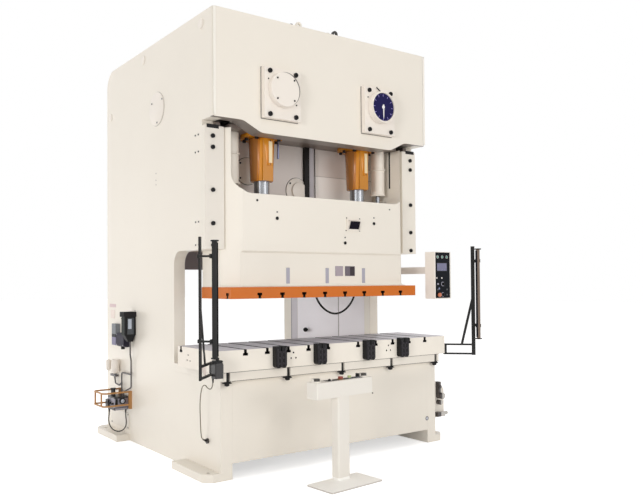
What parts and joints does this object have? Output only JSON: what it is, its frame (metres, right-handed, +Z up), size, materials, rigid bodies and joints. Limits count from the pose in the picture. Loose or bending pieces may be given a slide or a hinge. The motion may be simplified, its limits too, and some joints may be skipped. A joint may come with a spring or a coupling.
{
  "type": "mechanical stamping press",
  "caption": "Stamping press with an open-sided frame, a slide guided by two plungers, a slotted bolster, swinging light curtains, an operator panel and a separate two-hand control stand.",
  "frame": {"origin": "centre of the four anchor bolts in the feet, on the floor", "axes": "+X to the operator's right, +Y to the rear, +Z up"},
  "size_m": [2.9011, 3.0185, 3.633],
  "materials": {
    "cream_paint": "smooth gloss paint",
    "orange_paint": "gloss paint",
    "black_paint": "satin paint",
    "grey_paint": "satin paint",
    "ground_steel": "ground",
    "chrome": "polished",
    "cast_iron": "machined",
    "bronze": "machined",
    "aluminium": "anodised",
    "black_rubber": "matt",
    "navy_plastic": "gloss",
    "red_plastic": "gloss",
    "green_plastic": "gloss",
    "black_plastic": "matt",
    "white_plastic": "gloss"
  },
  "bodies": {
    "frame": {"left_side_frame": "cream_paint", "right_side_frame": "cream_paint", "bed": "cream_paint", "bolster": "ground_steel", "bolster_bolts": "black_paint", "die_arm_brackets": "black_paint", "crown_front": "cream_paint", "crown_back_shell": "cream_paint", "crown_floor": "grey_paint", "bearing_wall": "cream_paint", "gear_case": "cream_paint", "crank_bearings": "bronze", "crank_covers": "cream_paint", "angle_dial": "navy_plastic", "drive_motor": "grey_paint", "drive_belts": "black_rubber", "gib_plates": "cream_paint", "plunger_guides": "orange_paint", "counterbalance_cylinders": "cream_paint", "frame_screws": "black_paint", "round_covers": "cream_paint", "wall_duct": "black_paint", "curtain_hinges": "black_paint", "arm_bracket": "cream_paint", "control_stand": "cream_paint", "lubrication_pump": "grey_paint", "valve_unit": "aluminium", "valve_guard": "orange_paint", "air_supply": "aluminium", "lifting_lugs": "black_paint", "valve_hose": "black_rubber", "curtain_wiring": "black_plastic", "curtain_cable": "black_rubber"},
    "slide": {"slide_body": "cream_paint", "slide_plate": "orange_paint", "plungers": "chrome", "connecting_rods": "cast_iron", "counterbalance_rods": "chrome", "slide_display": "black_plastic", "slide_hose": "black_rubber"},
    "left_crank": {"left_crankshaft": "cast_iron", "left_main_gear": "cast_iron"},
    "right_crank": {"right_crankshaft": "cast_iron", "right_main_gear": "cast_iron", "angle_pointer": "white_plastic"},
    "pinion": {"pinion_shaft": "cast_iron"},
    "flywheel": {"flywheel": "cast_iron"},
    "motor_pulley": {"motor_pulley": "cast_iron"},
    "left_curtain": {"left_light_curtain": "black_paint"},
    "right_curtain": {"right_light_curtain": "black_paint"},
    "panel": {"panel_arm": "cream_paint", "control_panel": "cream_paint"},
    "panel_estop": {"panel_estop": "red_plastic"},
    "panel_key": {"panel_key_switch": "black_plastic"},
    "panel_selector": {"panel_selector": "black_plastic"},
    "left_palm": {"left_palm_button": "green_plastic"},
    "right_palm": {"right_palm_button": "green_plastic"},
    "stand_estop": {"stand_estop": "red_plastic"},
    "stand_start": {"stand_start_button": "green_plastic"},
    "stand_selector": {"stand_selector": "black_plastic"}
  },
  "joints": [
    {"name": "slide_travel", "type": "slide", "parent": "frame", "child": "slide", "axis": [0, 0, 1], "range_m": [0, 0.25]},
    {"name": "left_crank_turn", "type": "hinge", "parent": "frame", "child": "left_crank", "pos_m": [-0.52, -0.4, 3], "axis": [0, 1, 0], "range_deg": [0, 180]},
    {"name": "right_crank_turn", "type": "hinge", "parent": "frame", "child": "right_crank", "pos_m": [0.52, -0.4, 3], "axis": [0, 1, 0], "range_deg": [0, 180]},
    {"name": "pinion_turn", "type": "hinge", "parent": "frame", "child": "pinion", "pos_m": [0, -0.2, 3], "axis": [0, 1, 0], "range_deg": [-656, 0]},
    {"name": "flywheel_turn", "type": "hinge", "parent": "frame", "child": "flywheel", "pos_m": [0, 0.085, 3], "axis": [0, 1, 0], "continuous": true},
    {"name": "motor_turn", "type": "hinge", "parent": "frame", "child": "motor_pulley", "pos_m": [-0.64, 0.085, 2.45], "axis": [0, 1, 0], "continuous": true},
    {"name": "left_curtain_swing", "type": "hinge", "parent": "frame", "child": "left_curtain", "pos_m": [-1.222, -1.15, 0.85], "axis": [0, 0, -1], "range_deg": [0, 45]},
    {"name": "right_curtain_swing", "type": "hinge", "parent": "frame", "child": "right_curtain", "pos_m": [1.222, -1.15, 0.85], "axis": [0, 0, 1], "range_deg": [0, 45]},
    {"name": "panel_swing", "type": "hinge", "parent": "frame", "child": "panel", "pos_m": [1.189, -0.26, 1.574], "axis": [0, 0, 1], "range_deg": [-4, 75]},
    {"name": "panel_estop_push", "type": "slide", "parent": "panel", "child": "panel_estop", "axis": [0, 1, 0], "range_m": [0, 0.006]},
    {"name": "panel_key_turn", "type": "hinge", "parent": "panel", "child": "panel_key", "pos_m": [1.348, -1.02, 1.342], "axis": [0, -1, 0], "range_deg": [-45, 45]},
    {"name": "panel_selector_turn", "type": "hinge", "parent": "panel", "child": "panel_selector", "pos_m": [1.348, -1.02, 1.442], "axis": [0, -1, 0], "range_deg": [-45, 45]},
    {"name": "left_palm_push", "type": "slide", "parent": "frame", "child": "left_palm", "axis": [0, 0, 1], "range_m": [-0.006, 0], "stiffness_N_per_m": 1500, "springref_m": 0.004},
    {"name": "right_palm_push", "type": "slide", "parent": "frame", "child": "right_palm", "axis": [0, 0, 1], "range_m": [-0.006, 0], "stiffness_N_per_m": 1500, "springref_m": 0.004},
    {"name": "stand_estop_push", "type": "slide", "parent": "frame", "child": "stand_estop", "axis": [0, 0, 1], "range_m": [-0.006, 0]},
    {"name": "stand_start_push", "type": "slide", "parent": "frame", "child": "stand_start", "axis": [0, 0, 1], "range_m": [-0.006, 0], "stiffness_N_per_m": 1000, "springref_m": 0.004},
    {"name": "stand_selector_turn", "type": "hinge", "parent": "frame", "child": "stand_selector", "pos_m": [-0.20369, -1.58131, 0.744], "axis": [0, 0, 1], "range_deg": [-45, 45]}
  ],
  "couplings": [
    {"joint": "left_crank_turn", "follows": "slide_travel", "rad_per_m": 12.566},
    {"joint": "right_crank_turn", "follows": "slide_travel", "rad_per_m": 12.566},
    {"joint": "pinion_turn", "follows": "slide_travel", "rad_per_m": -45.777},
    {"joint": "motor_turn", "follows": "flywheel_turn", "ratio": 3.7391}
  ]
}
